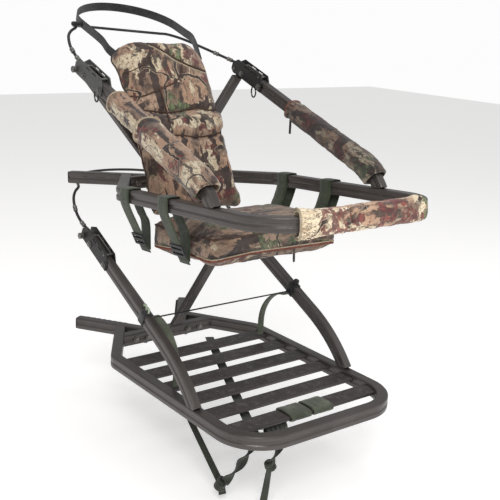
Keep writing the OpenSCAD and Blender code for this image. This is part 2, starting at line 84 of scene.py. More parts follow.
class Arm:
    """Centre line of an arm: a straight length from its top end, then the bend to the rail.
    foot is where it lands, h0 and h1 are its slopes there and along the straight, in degrees."""

    def __init__(self, foot, h0, h1, r, top, x, place):
        self.a, self.r, self.x, self.place = math.radians(h1), r, x, place
        self.cy = foot + r * math.sin(math.radians(h0))
        self.cz = RAIL_H / 2 - r * math.cos(math.radians(h0))
        ky, kz = self.cy - r * math.sin(self.a), self.cz + r * math.cos(self.a)
        self.ty, self.tz = top, kz + (top - ky) * math.tan(self.a)
        self.run = (top - ky) / math.cos(self.a)

    def at(self, t):
        """Point and heading at distance t from the top end."""
        if t <= self.run:
            return self.ty - t * math.cos(self.a), self.tz - t * math.sin(self.a), self.a
        h = self.a + (t - self.run) / self.r
        return self.cy - self.r * math.sin(h), self.cz + self.r * math.cos(h), h

    def frame(self, t, side):
        y, z, h = self.at(t)
        o = self.place(side * self.x, y, z)
        up = self.place(side * self.x, y - math.sin(h), z + math.cos(h)) - o
        return o, Vector((1, 0, 0)), up.normalized()


plat_arm = Arm(222, 52, 25.5, 400, 745, 243, deck)
seat_arm = Arm(222, 60, 23.8, 140, 800, 254, seat)


# ---- materials ------------------------------------------------------------------------------
def lin(r, g, b):
    """An sRGB colour of 0 to 255 as linear RGBA."""
    return tuple(((c / 255 + 0.055) / 1.055) ** 2.4 if c > 10 else c / 255 / 12.92 for c in (r, g, b)) + (1.0,)


class Mat:
    def __init__(self, name, rough=0.5, metal=0.0):
        self.m = bpy.data.materials.new(name)
        self.m.use_nodes = True
        self.t = self.m.node_tree
        self.b = self.t.nodes["Principled BSDF"]
        self.b.inputs["Roughness"].default_value = rough
        self.b.inputs["Metallic"].default_value = metal
        self.obj = self.node("TexCoord").outputs["Object"]

    def node(self, kind, **props):
        n = self.t.nodes.new("ShaderNode" + kind)
        for k, v in props.items():
            setattr(n, k, v)
        return n

    def put(self, socket, v):
        if hasattr(v, "is_output"):
            self.t.links.new(v, socket)
        else:
            socket.default_value = v

    def scaled(self, v, s):
        n = self.node("Mapping")
        self.put(n.inputs["Vector"], v)
        n.inputs["Scale"].default_value = s
        return n.outputs[0]

    def noise(self, v, scale, detail=3, rough=0.55, dist=0.0, out=0, w=0.0):
        n = self.node("TexNoise", noise_dimensions="4D")
        for k, x in (("Vector", v), ("Scale", scale), ("Detail", detail), ("Roughness", rough),
                     ("Distortion", dist), ("W", w)):
            self.put(n.inputs[k], x)
        return n.outputs[out]

    def cell_edge(self, v, scale):
        n = self.node("TexVoronoi", feature="DISTANCE_TO_EDGE")
        self.put(n.inputs["Vector"], v)
        self.put(n.inputs["Scale"], scale)
        return n.outputs["Distance"]

    def math(self, op, a, b=0.0):
        n = self.node("Math", operation=op)
        for i, x in enumerate((a, b)):
            self.put(n.inputs[i], x)
        return n.outputs[0]

    def step(self, f, lo, hi):
        n = self.node("MapRange", interpolation_type="SMOOTHSTEP")
        self.put(n.inputs["Value"], f)
        n.inputs["From Min"].default_value, n.inputs["From Max"].default_value = lo, hi
        return n.outputs[0]

    def mix(self, f, a, b):
        n = self.node("Mix", data_type="RGBA", blend_type="MIX")
        self.put(n.inputs[0], f)
        self.put(n.inputs[6], a)
        self.put(n.inputs[7], b)
        return n.outputs[2]

    def bump(self, h, dist, strength=1.0, normal=None):
        n = self.node("Bump")
        self.put(n.inputs["Height"], h)
        n.inputs["Distance"].default_value = dist
        n.inputs["Strength"].default_value = strength
        if normal:
            self.put(n.inputs["Normal"], normal)
        return n.outputs[0]

    def out(self, color=None, rough=None, normal=None, **more):
        for k, v in (("Base Color", color), ("Roughness", rough), ("Normal", normal)):
            if v is not None:
                self.put(self.b.inputs[k], v)
        for k, v in more.items():
            self.b.inputs[k.replace("_", " ")].default_value = v
        return self.m


def coated(name, base, rough, metal=0.35, wear=0.5, draw=(30, 30, 900)):
    """Coated metal: draw lines, mottle, fine grain, and bare metal at worn edges. draw scales the
    lines' noise on each axis; they run along an axis whose value is small."""
    m = Mat(name, rough, metal)
    round_n = m.node("Bevel", samples=4)
    round_n.inputs["Radius"].default_value = 0.0015
    edge = m.node("VectorMath", operation="DOT_PRODUCT")
    m.put(edge.inputs[0], round_n.outputs[0])
    m.put(edge.inputs[1], m.node("NewGeometry").outputs["True Normal"])
    worn = m.math("MULTIPLY", m.step(edge.outputs["Value"], 0.985, 0.93),
                  m.step(m.noise(m.obj, 55, 5, 0.65), 0.46, 0.68))
    lines = m.noise(m.scaled(m.obj, draw), 1.0, 2)
    mottle = m.noise(m.obj, 9, 4)
    c = m.mix(m.step(mottle, 0.3, 0.72), lin(*[x * 0.94 for x in base]),
              lin(*[min(255, x * 1.06) for x in base]))
    c = m.mix(m.math("MULTIPLY", m.step(lines, 0.35, 0.7), 0.12), c, lin(*[x * 0.8 for x in base]))
    c = m.mix(m.math("MULTIPLY", worn, wear), c, lin(176, 174, 170))
    grain = m.noise(m.obj, 1500, 2)
    h = m.math("ADD", m.math("MULTIPLY", lines, 0.5), m.math("MULTIPLY", grain, 0.5))
    r = m.math("ADD", m.math("MULTIPLY", m.noise(m.obj, 22, 3, w=4), 0.24), rough - 0.12)
    return m.out(c, r, m.bump(h, 0.0004, 0.35, round_n.outputs[0]))


def moulded(name, base, rough, scale=900, scuff=0.3):
    """Moulded rubber or plastic, and cut trim: fine grain with paler scuffs."""
    m = Mat(name, rough)
    c = m.mix(m.math("MULTIPLY", m.step(m.noise(m.obj, 60, 5, 0.7), 0.5, 0.75), scuff), lin(*base),
              lin(*[min(255, x * 1.9 + 22) for x in base]))
    r = m.math("ADD", m.math("MULTIPLY", m.noise(m.obj, 35, 3), 0.3), rough - 0.15)
    return m.out(c, r, m.bump(m.noise(m.obj, scale, 2), 0.0003, 0.5))


def webbing(name, base, pale):
    """Woven webbing: ribs along the strap and picks across it, from UVs laid out in metres."""
    rib_pitch, pick_pitch = 0.0030, 0.0021
    m = Mat(name, 0.85)
    uv = m.node("UVMap")
    sep = m.node("SeparateXYZ")
    m.put(sep.inputs[0], uv.outputs[0])
    u, v = sep.outputs[0], sep.outputs[1]
    rib = m.math("SINE", m.math("MULTIPLY", u, 2 * math.pi / rib_pitch))
    slant = m.math("ADD", v, m.math("MULTIPLY", m.math("ABSOLUTE", rib), 0.0007))
    pick = m.math("SINE", m.math("MULTIPLY", slant, 2 * math.pi / pick_pitch))
    weave = m.math("ADD", m.math("MULTIPLY", m.math("ABSOLUTE", rib), 0.6), m.math("MULTIPLY", pick, 0.4))
    fuzz = m.noise(m.obj, 700, 3)
    c = m.mix(m.step(weave, 0.0, 0.95), lin(*[x * 0.68 for x in base]), lin(*base))
    c = m.mix(m.math("MULTIPLY", m.step(m.noise(m.obj, 30, 4, 0.6), 0.42, 0.72), 0.55), c, lin(*pale))
    h = m.math("ADD", weave, m.math("MULTIPLY", fuzz, 0.4))
    return m.out(c, 0.84, m.bump(h, 0.0005, 0.7), Sheen_Weight=0.25, Sheen_Roughness=0.5)


def camo(name, tone_and_shade=1.0, grain=(1, 1, 0.3), turn=0.0, zones=(), pale=0.565):
    """Generic bark, branch and leaf camouflage; its grain runs along one axis, turned about X.
    Zones are (kind, centre, half-sizes) in metres where one tone of the print gathers. A larger
    pale gives fewer cream patches, and each w picks its own slice of noise."""
    # The first number after the name scales every colour: the print's own tone, and on the far sleeve painted
    # shade.
    k = lambda r, g, b: lin(r * tone_and_shade, g * tone_and_shade, b * tone_and_shade)
    m = Mat(name, 0.9)

    def shift(v, scale, amp, w=0.0):
        n = m.node("VectorMath", operation="MULTIPLY_ADD")
        m.put(n.inputs[0], m.noise(m.obj, scale, 3, out=1, w=w))
        n.inputs[1].default_value = (amp,) * 3
        m.put(n.inputs[2], v)
        return n.outputs[0]

    turned = m.node("Mapping")
    m.put(turned.inputs["Vector"], m.obj)
    turned.inputs["Rotation"].default_value = (turn, 0, 0)
    p = shift(turned.outputs[0], 11, 0.05)
    q = shift(p, 95, 0.010, 2)
    g = m.scaled(q, grain)
    stretched = lambda f: [1 if x == 1 else f(x) for x in grain]
    long_g = m.scaled(q, stretched(lambda x: x * 0.4))
    patch = lambda v, scale, w, lo, hi: m.step(m.noise(v, scale, 3, 0.5, w=w), lo, hi)
    scale_by = lambda f, x: m.math("MULTIPLY", f, x)

    def zone(kind):
        total = None
        for tone_name, centre, size in zones:
            if tone_name != kind:
                continue
            off = m.node("VectorMath", operation="SUBTRACT")
            m.put(off.inputs[0], shift(shift(m.obj, 30, 0.024, 31), 110, 0.012, 33))
            off.inputs[1].default_value = [x + 0.018 for x in centre]
            rel = m.node("VectorMath", operation="DIVIDE")
            m.put(rel.inputs[0], off.outputs[0])
            rel.inputs[1].default_value = size
            far = m.node("VectorMath", operation="LENGTH")
            m.put(far.inputs[0], rel.outputs[0])
            inside = m.step(far.outputs["Value"], 1.08, 0.92)
            total = inside if total is None else m.math("MAXIMUM", total, inside)
        return total

    def with_zone(f, kind):
        z = zone(kind)
        return f if z is None else m.math("MAXIMUM", f, z)

    fine = m.step(m.noise(g, 70, 6, 0.75), 0.34, 0.66)
    panel = patch(m.scaled(p, stretched(lambda x: x * 0.45)), 15, 41, 0.48, 0.52)
    c = m.mix(panel, m.mix(fine, k(72, 55, 46), k(150, 122, 102)),
              m.mix(fine, k(140, 112, 92), k(182, 154, 130)))
    c = m.mix(scale_by(with_zone(patch(p, 10, 3, 0.545, 0.57), "tan"), 0.8), c,
              m.mix(fine, k(156, 122, 98), k(182, 148, 122)))
    c = m.mix(scale_by(m.step(m.noise(long_g, 130, 4, 0.7, w=7), 0.52, 0.62), 0.75), c, k(54, 40, 34))
    cream = with_zone(patch(g, 17, 5, pale, pale + 0.02), "cream")
    split = m.noise(m.scaled(q, stretched(lambda x: 0.6)), 46, 3, 0.6, w=27)
    split = m.math("ABSOLUTE", m.math("SUBTRACT", split, 0.5))
    crack = m.math("MAXIMUM", m.step(split, 0.020, 0.008),
                   m.step(m.noise(long_g, 150, 3, 0.6, w=29), 0.56, 0.62))
    bark = m.mix(scale_by(crack, 0.8), m.mix(fine, k(186, 164, 134), k(222, 210, 184)), k(92, 74, 60))
    c = m.mix(cream, c, bark)
    c = m.mix(with_zone(patch(g, 24, 9, 0.565, 0.59), "dark"), c,
              m.mix(fine, k(36, 27, 25), k(78, 57, 48)))
    c = m.mix(scale_by(patch(long_g, 34, 12, 0.585, 0.62), 0.9), c, k(52, 40, 36))
    for kind, at, w, tone, vein in (("rust", 0.575, 14, k(116, 54, 48), k(78, 38, 36)),
                                    ("green", 0.60, 18, k(106, 118, 80), k(70, 80, 56))):
        cluster = with_zone(patch(p, 9, w, at, at + 0.015), kind)
        cell = m.scaled(q, (1, 1, 0.7))
        leaf = m.step(m.noise(m.scaled(q, (1, 1, 0.8)), 52, 3, 0.6, w=w + 20), 0.46, 0.50)
        rib = m.step(m.cell_edge(cell, 70), 0.20, 0.06)
        c = m.mix(scale_by(m.math("MULTIPLY", cluster, leaf), 0.9), c, m.mix(rib, tone, vein))
    bough = m.math("ABSOLUTE", m.math("SUBTRACT", m.noise(q, 6, 1.5, w=21), 0.5))
    where = m.step(m.noise(p, 5, 1, w=23), 0.44, 0.50)
    c = m.mix(m.math("MULTIPLY", m.step(bough, 0.013, 0.010), scale_by(where, 0.6)), c, k(186, 166, 140))
    c = m.mix(m.math("MULTIPLY", m.step(bough, 0.009, 0.006), where), c, k(50, 38, 34))
    nap = m.noise(m.obj, 1300, 2)
    creases = m.noise(m.obj, 55, 4, 0.6, 0.6, w=3)
    n = m.bump(nap, 0.0004, 0.5, m.bump(creases, 0.004, 0.35))
    return m.out(c, 0.9, n, Sheen_Weight=0.2, Sheen_Roughness=0.6)


MATS = {
    "rail_grey": coated("rail_grey", (84, 79, 77), 0.34, 0.45),
    "slat_grey": coated("slat_grey", (72, 66, 65), 0.42, draw=(8, 900, 900)),
    "dark_steel": coated("dark_steel", (44, 42, 42), 0.5, wear=0.35, draw=(60, 60, 60)),
    "zinc_steel": coated("zinc_steel", (120, 118, 114), 0.38, 0.85, 0.3, (200, 200, 200)),
    "black_rubber": moulded("black_rubber", (30, 30, 31), 0.78, scale=600),
    "black_plastic": moulded("black_plastic", (28, 28, 30), 0.45),
    "cable_coat": moulded("cable_coat", (24, 24, 25), 0.42, scale=400, scuff=0.2),
    "black_webbing": webbing("black_webbing", (38, 38, 40), (62, 61, 60)),
    "olive_webbing": webbing("olive_webbing", (50, 62, 36), (68, 78, 52)),
    "green_pads": webbing("green_pads", (96, 104, 84), (118, 124, 104)),
    "camo_fabric": camo("camo_fabric"),
}
SLOT = {s["node"]: s["material_slot"] for s in frame["record"]["subparts"]}
for name, ob in frame["nodes"].items():
    for slot in ob.material_slots:
        slot.material = MATS[SLOT[name]]
camo_back = camo("camo_back", 0.99, zones=[
    ("cream", (-0.088, 0.72, 0.765), (0.062, 0.5, 0.026)), ("cream", (0.045, 0.66, 0.616), (0.085, 0.5, 0.017)),
    ("cream", (0.048, 0.6, 0.512), (0.026, 0.5, 0.036)), ("cream", (0.092, 0.6, 0.455), (0.030, 0.5, 0.016)),
    ("dark", (0.050, 0.66, 0.652), (0.085, 0.5, 0.008)), ("dark", (-0.064, 0.7, 0.700), (0.011, 0.5, 0.080)),
    ("dark", (0.080, 0.6, 0.478), (0.036, 0.5, 0.008)), ("dark", (-0.06, 0.75, 0.812), (0.035, 0.5, 0.012)),
    ("dark", (0.075, 0.6, 0.540), (0.009, 0.5, 0.04)), ("tan", (-0.030, 0.7, 0.742), (0.030, 0.5, 0.045)),
    ("tan", (0.056, 0.7, 0.700), (0.040, 0.5, 0.045)), ("tan", (0.10, 0.6, 0.575), (0.03, 0.5, 0.03)),
    ("rust", (0.075, 0.74, 0.790), (0.026, 0.5, 0.016)), ("rust", (0.104, 0.7, 0.733), (0.016, 0.5, 0.020)),
    ("rust", (0.075, 0.56, 0.425), (0.040, 0.5, 0.016)), ("rust", (-0.10, 0.6, 0.50), (0.02, 0.5, 0.03))])
camo_arm = camo("camo_arm", 0.94, (1, 0.3, 1), math.radians(-20), [
    ("tan", (-0.254, 0.33, 0.60), (0.1, 0.055, 0.045)), ("rust", (-0.275, 0.272, 0.578), (0.030, 0.024, 0.022)),
    ("cream", (-0.254, 0.222, 0.556), (0.1, 0.020, 0.05)), ("tan", (-0.254, 0.52, 0.70), (0.1, 0.05, 0.03)),
    ("dark", (-0.254, 0.42, 0.65), (0.1, 0.012, 0.05)), ("cream", (-0.272, 0.40, 0.615), (0.02, 0.05, 0.012))])
# Far sleeve: every colour scaled by 0.66 against the near sleeves' 0.94, painted shade of the far side.
camo_far_shaded = camo("camo_far_shaded", 0.66, (1, 0.3, 1), math.radians(-20), [
    ("green", (0.25, 0.200, 0.545), (0.1, 0.028, 0.03)), ("dark", (0.25, 0.40, 0.63), (0.1, 0.022, 0.06)),
    ("dark", (0.25, 0.29, 0.58), (0.1, 0.016, 0.05)), ("rust", (0.25, 0.505, 0.68), (0.1, 0.02, 0.04))])
camo_wide = camo("camo_wide", 0.86, (0.35, 1, 1), 0.0, [
    ("green", (-0.14, 0.30, 0.44), (0.035, 0.05, 0.03)),
    ("rust", (0.15, 0.245, 0.37), (0.05, 0.04, 0.014))], 0.595)
camo_bar = camo("camo_bar", 1.16, (0.35, 1, 1), 0.0, [
    ("cream", (-0.152, -0.04, 0.5), (0.042, 0.2, 0.08)), ("rust", (0.085, -0.04, 0.5), (0.032, 0.2, 0.08)),
    ("cream", (0.155, -0.03, 0.5), (0.022, 0.2, 0.08)), ("tan", (-0.02, -0.04, 0.52), (0.075, 0.2, 0.05))])

# Trims and odd parts, next to the record's own materials.
trim = moulded("dark_trim", (70, 52, 44), 0.85, scale=1200)
pale_trim = moulded("pale_trim", (166, 150, 126), 0.88, scale=1200)
dull_trim = moulded("dull_trim", (122, 106, 88), 0.88, scale=1200)
red_trim = moulded("red_trim", (112, 62, 50), 0.86, scale=1200)
dark_olive = webbing("dark_olive", (40, 44, 32), (58, 62, 46))
pale_hook = moulded("pale_hook", (150, 164, 138), 0.5)
# The near seat bracket alone gets this paler grey, painted light on one of a mirrored pair.
lit_bracket_grey = coated("lit_bracket_grey", (92, 92, 90), 0.5, wear=0.4, draw=(60, 60, 60))
for slot in frame["nodes"]["seat_bracket_right"].material_slots:
    slot.material = lit_bracket_grey


# ---- mesh building ----------------------------------------------------------------------------
def add(name, verts, faces, mat, body, stands_for=(), uvs=None, slot=None):
    """A new piece on a body, hiding the CAD nodes it stands for."""
    me = bpy.data.meshes.new(name)
    me.from_pydata([tuple(v) for v in verts], [], faces)
    if uvs:
        layer = me.uv_layers.new(name="UVMap")
        for poly in me.polygons:
            for li in poly.loop_indices:
                layer.data[li].uv = uvs[me.loops[li].vertex_index]
    me.materials.append(mat)
    ob = bpy.data.objects.new(name, me)
    bpy.context.scene.collection.objects.link(ob)
    bm = bmesh.new()
    bm.from_mesh(me)
    bmesh.ops.recalc_face_normals(bm, faces=bm.faces)
    bm.to_mesh(me)
    bm.free()
    me.shade_smooth()
    place(ob, body, stands_for, slot)
    return ob


def place(ob, body, stands_for=(), slot=None):
    if body:
        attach(ob, body)
    if stands_for:
        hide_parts(*stands_for)
        slot = slot or SLOT[stands_for[0]]


def smooth_path(pts, per=8, closed=False):
    """Catmull-Rom through the points."""
    pts = [Vector(p) for p in pts]
    n, out = len(pts), []
    for i in range(n if closed else n - 1):
        p0 = pts[(i - 1) % n] if closed or i > 0 else pts[0] * 2 - pts[1]
        p1, p2 = pts[i], pts[(i + 1) % n]
        p3 = pts[(i + 2) % n] if closed or i + 2 < n else p2 * 2 - p1
        for k in range(per):
            t = k / per
            out.append(0.5 * (2 * p1 + (p2 - p0) * t + (2 * p0 - 5 * p1 + 4 * p2 - p3) * t * t
                              + (3 * p1 - p0 - 3 * p2 + p3) * t ** 3))
    if not closed:
        out.append(pts[-1])
    return out


def sweep(name, pts, section, mat, body, stands_for=(), wide=None, closed=False, slot=None):
    """Carries a section of (u, v) metres along the points; u lies along wide, v across it."""
    n, k = len(pts), len(section)
    verts, uvs, run = [], [], 0.0
    girth = [0.0]
    for j in range(1, k):
        girth.append(girth[-1] + (Vector(section[j]) - Vector(section[j - 1])).length)
    for i, p in enumerate(pts):
        a = pts[(i - 1) % n] if closed or i else pts[0]
        b = pts[(i + 1) % n] if closed or i < n - 1 else pts[-1]
        tan = (b - a).normalized()
        w = wide[i] if isinstance(wide, list) else (wide or Vector((0, 0, 1)))
        if wide is None and abs(tan.z) > 0.95:
            w = Vector((0, 1, 0))
        u = (w - tan * w.dot(tan)).normalized()
        v = tan.cross(u)
        run += (p - pts[i - 1]).length if i else 0
        for j, (su, sv) in enumerate(section):
            verts.append(p + u * su + v * sv)
            uvs.append((su if wide is not None else girth[j], run))
    faces = []
    for i in range(n if closed else n - 1):
        for j in range(k):
            q, r = i * k, ((i + 1) % n) * k
            faces.append((q + j, q + (j + 1) % k, r + (j + 1) % k, r + j))
    if not closed:
        faces += [tuple(range(k))[::-1], tuple((n - 1) * k + j for j in range(k))]
    return add(name, verts, faces, mat, body, stands_for, uvs, slot)


def flat(w, t):
    """Webbing section: flat with rounded selvedges."""
    w, t = w / 2 * MM, t / 2 * MM
    return [(-w, 0), (-w + t * .6, -t * .85), (-w / 2, -t), (0, -t), (w / 2, -t), (w - t * .6, -t * .85),
            (w, 0), (w - t * .6, t * .85), (w / 2, t), (0, t), (-w / 2, t), (-w + t * .6, t * .85)]


def ring(r, n=14):
    return [(r * MM * math.cos(2 * math.pi * j / n), r * MM * math.sin(2 * math.pi * j / n)) for j in range(n)]


def rounded(u, v, ru, rv, power, q):
    """Point of a rounded rectangle at angle q; ru and rv are its half-sizes in mm."""
    c, s = math.cos(q), math.sin(q)
    return (u * (ru * MM * math.copysign(abs(c) ** power, c))
            + v * (rv * MM * math.copysign(abs(s) ** power, s)))


def eased(d, lip):
    """0 to 1 over a rolled lip, as a quarter circle."""
    return math.sqrt(max(0.0, 1 - (1 - min(1, max(0, d) / lip)) ** 2))


def padded_tube(name, where, t0, t1, outer, inner, mat, body, stands_for, steps=110, n=64, lip=9,
                mouth=0, tail=0):
    """Thick fabric tube: where(t) gives a frame, outer(t, angle) and inner give half-sizes in mm.
    With a mouth the t0 end, and with a tail the t1 end, stays open that deep."""
    wall, power = 4.5, 2 / 2.6
    rows = [("o", t0 + (t1 - t0) * i / steps) for i in range(steps + 1)]
    if tail:
        rows += [("i", t1 - tail * i / 8) for i in range(8)]
    rows += [("i", t1 - tail - (t1 - tail - t0 - mouth) * i / 12) for i in range(13)]
    if mouth:
        rows += [("i", t0 + mouth * (1 - i / 8)) for i in range(1, 9)]
    verts, faces = [], []
    for kind, t in rows:
        o, u, v = where(t)
        near = 0.55 + 0.45 * eased(t - t0, 3) if mouth else 0.12 + 0.88 * eased(t - t0, lip)
        soft = min(near, 0.55 + 0.45 * eased(t1 - t, 3) if tail else 0.12 + 0.88 * eased(t1 - t, lip))
        gape = max(0.0, 1 - (t - t0) / mouth) ** 0.5 if mouth else 0.0
        if tail:
            gape = max(gape, max(0.0, 1 - (t1 - t) / tail) ** 0.5)
        for j in range(n):
            a = 2 * math.pi * j / n
            ou, ov = outer(t, a)
            ru, rv = inner
            if kind == "o":
                ru, rv = ru + (ou - ru) * soft, rv + (ov - rv) * soft
            else:
                ru, rv = ru + (ou - wall - ru) * gape * 0.75, rv + (ov - wall - rv) * gape * 0.75
            verts.append(o + rounded(u, v, ru, rv, power, a))
    m = len(rows)
    for i in range(m):
        for j in range(n):
            q, r = i * n, ((i + 1) % m) * n
            faces.append((q + j, q + (j + 1) % n, r + (j + 1) % n, r + j))
    return add(name, verts, faces, mat, body, stands_for)


def swell(name, pts, sizes, mat, body, stands_for=(), wide=None, n=24, square=1.0, slot=None):
    """Turned or moulded form: a section of varying half-sizes in mm along the points, ends capped."""
    rings = []
    for i, (p, size) in enumerate(zip(pts, sizes)):
        tan = (pts[min(i + 1, len(pts) - 1)] - pts[max(i - 1, 0)]).normalized()
        w = wide or (Vector((0, 0, 1)) if abs(tan.z) < 0.9 else Vector((0, 1, 0)))
        u = (w - tan * w.dot(tan)).normalized()
        v = tan.cross(u)
        ru, rv = size if isinstance(size, tuple) else (size, size)
        rings.append([p + rounded(u, v, ru, rv, square, 2 * math.pi * j / n) for j in range(n)])
    ob = loft(name, rings, mat)
    place(ob, body, stands_for, slot)
    return ob


def dip(t, at, depth, width):
    """A groove across t, for a seam."""
    return -depth * math.exp(-((t - at) / width) ** 2)


def crumple(p, scale, amp, seed=0.0):
    """Cloth wrinkles: fractal noise of amp metres."""
    return amp * noise.fractal(Vector((p[0] * scale + seed, p[1] * scale, p[2] * scale)), 1.0, 2.0, 3)


def apply_last(ob, kind, **props):
    """Adds a modifier and applies it."""
    bpy.context.view_layer.objects.active = ob
    md = ob.modifiers.new("step", kind)
    for k, v in props.items():
        setattr(md, k, v)
    bpy.ops.object.modifier_apply(modifier="step")


def inflate(ob, cap, voxel=0.005, pressure=4.0, frames=20):
    """Blows the pad up as cloth for a few frames, with each point's travel capped in metres."""
    apply_last(ob, "REMESH", mode="VOXEL", voxel_size=voxel)
    start = [v.co.copy() for v in ob.data.vertices]
    cl = ob.modifiers.new("cloth", "CLOTH")
    st = cl.settings
    st.quality, st.mass, st.tension_stiffness, st.compression_stiffness = 5, 0.3, 12, 12
    st.use_pressure, st.uniform_pressure_force = True, pressure
    st.effector_weights.gravity = 0
    cl.point_cache.frame_start, cl.point_cache.frame_end = 1, frames
    for f in range(1, frames + 1):
        bpy.context.scene.frame_set(f)
    ev = ob.evaluated_get(bpy.context.evaluated_depsgraph_get())
    moved = [v.co.copy() for v in ev.data.vertices]
    ob.modifiers.remove(cl)
    bpy.context.scene.frame_set(1)
    for v, a, b in zip(ob.data.vertices, start, moved):
        d = b - a
        v.co = a + (d * (cap / d.length) if d.length > cap else d)
    ob.data.update()


def shape(ob, fn):
    """Moves each vertex along its normal by fn(co, normal) metres, then relaxes."""
    ob.data.update()
    nor = [v.normal.copy() for v in ob.data.vertices]
    for v, nn in zip(ob.data.vertices, nor):
        v.co += nn * fn(v.co, nn)
    apply_last(ob, "SMOOTH", iterations=2, factor=0.5)


def snap(ob, pts, lift, along=None):
    """Points moved on to a pad's surface, straight or along a direction, and lifted off it in metres."""
    bm = bmesh.new()
    bm.from_mesh(ob.data)
    tree = BVHTree.FromBMesh(bm)
    out = []
    for p in pts:
        co, nn, _, _ = tree.ray_cast(p, along) if along else (None,) * 4
        if co is None:
            co, nn, _, _ = tree.find_nearest(p)
        out.append(co + nn * lift)
    bm.free()
    return out


def loft(name, rings, mat):
    """Closed form through rings of equal length, with the two ends capped."""
    k = len(rings[0])
    verts = [p for r in rings for p in r]
    faces = [(i * k + j, i * k + (j + 1) % k, (i + 1) * k + (j + 1) % k, (i + 1) * k + j)
             for i in range(len(rings) - 1) for j in range(k)]
    faces += [tuple(range(k))[::-1], tuple((len(rings) - 1) * k + j for j in range(k))]
    return add(name, verts, faces, mat, None)


def refine(ob):
    apply_last(ob, "SUBSURF", levels=1, render_levels=1)
    ob.data.shade_smooth()


# ---- seat cushion -------------------------------------------------------------------------------
CUSH = dict(hw=200, y0=311, y1=584, z0=-141, z1=-67)


def cushion_ring(x, shrink):
    """Cross-section of the cushion at x, smaller by shrink mm all round."""
    y0, y1 = CUSH["y0"] + shrink, CUSH["y1"] - shrink
    z0, z1 = CUSH["z0"] + shrink * .6, CUSH["z1"] - shrink * .6
    cy, cz, a, b = (y0 + y1) / 2, (z0 + z1) / 2, (y1 - y0) / 2, (z1 - z0) / 2
    out = []
    for j in range(96):
        t = 2 * math.pi * j / 96
        c, s = math.cos(t), math.sin(t)
        out.append(seat(x, cy + a * math.copysign(abs(c) ** 0.28, c),
                        cz + b * math.copysign(abs(s) ** 0.42, s)))
    return out


CUSHION_RINGS = ((-1, 14), (-.985, 5), (-.95, 1), (-.9, 0), (-.5, 0), (0, 0), (.5, 0), (.9, 0),
                 (.95, 1), (.985, 5), (1, 14))
cushion = loft("seat_cushion_pad", [cushion_ring(CUSH["hw"] * q, sh) for q, sh in CUSHION_RINGS], camo_wide)
inflate(cushion, 0.012)
centre = seat(0, 447, -104)


def cushion_move(p, n):
    q = p - centre
    crown = max(0.0, 1 - (q.x / 0.2) ** 2) * max(0.0, 1 - (q.y / 0.14) ** 2)
    return (0.008 * crown if n.z > 0.3 else -0.002 * crown) + crumple(p, 24, 0.0024) + crumple(p, 70, 0.0007, 5)


shape(cushion, cushion_move)
refine(cushion)
place(cushion, "seat", ("seat_cushion",))


def edge_loop(z):
    """Rounded rectangle just outside the cushion, for its piping."""
    hw, y0, y1 = CUSH["hw"] + 5, CUSH["y0"] - 4, CUSH["y1"] + 4
    r, pts = 34, []
    for cx, cy, a0 in ((hw - r, y1 - r, 0), (-hw + r, y1 - r, 90), (-hw + r, y0 + r, 180),
                       (hw - r, y0 + r, 270)):
        for k in range(9):
            a = math.radians(a0 + k * 90 / 8)
            pts.append(seat(cx + r * math.cos(a), cy + r * math.sin(a), z))
    return smooth_path(pts, 3, True)


for nm, z, r, mat in (("cushion_piping_low", -137, 3.0, red_trim), ("cushion_welt_low", -129, 1.6, pale_trim),
                      ("cushion_piping_top", -73, 2.2, trim)):
    sweep(nm, snap(cushion, edge_loop(z), 0.0010), ring(r, 10), mat, "seat", closed=True, slot="camo_fabric")
swell("cushion_zip_tab", [seat(46, 306, z) for z in (-127, -129, -132, -134, -136, -139, -150, -158, -160)],
      [1.2, 2.6, 2.6, 1.2, 1.2, (3.6, 1.5), (3.9, 1.6), (3.4, 1.5), (1.5, 0.8)], MATS["black_plastic"], "seat",
      wide=Vector((1, 0, 0)), slot="black_plastic")

# ---- backrest -----------------------------------------------------------------------------------
SPINE = [(618, -60), (656, 28), (695, 118), (722, 181), (757, 262), (789, 338), (812, 394)]
BACK_HW, BACK_LEN, CORNER = 146, 505, 50


def spine(t):
    """Point of the line that the pad lies 31 mm behind, from t 0 at its bottom to 1 at its top."""
    f = t * (len(SPINE) - 1)
    i = min(int(f), len(SPINE) - 2)
    a, b = SPINE[i], SPINE[i + 1]
    return a[0] + (b[0] - a[0]) * (f - i), a[1] + (b[1] - a[1]) * (f - i)


def back_ring(t):
    """Cross-section of the pad: the top corners are rounded, wrap back round the trunk and fall."""
    y, z = spine(t)
    yb, zb = spine(max(0, t - 0.04))
    ya, za = spine(min(1, t + 0.04))
    ln = math.hypot(ya - yb, za - zb)
    ny, nz = (za - zb) / ln, -(ya - yb) / ln
    soft = eased(min(t, 1 - t) * BACK_LEN, 25)
    top = max(0.0, 1 - (1 - t) * BACK_LEN / CORNER)
    hw = BACK_HW * (0.95 + 0.05 * soft) - CORNER * (1 - math.sqrt(1 - top * top))
    th = 21 * (0.35 + 0.65 * soft)
    wrap, fall = max(0, (t - 0.45) / 0.55) ** 1.5, max(0, (t - 0.65) / 0.35)
    out = []
    for j in range(96):
        a = 2 * math.pi * j / 96
        c, s = math.cos(a), math.sin(a)
        x = hw * math.copysign(abs(c) ** 0.3, c)
        off = 31 + th * math.copysign(abs(s) ** 0.45, s)
        q = (x / BACK_HW) ** 2
        drop = (44 + 12 * x / BACK_HW) * q * q * fall
        out.append(seat(x - 6, y + ny * off + 26 * q * wrap, z + nz * off - drop))
    return out


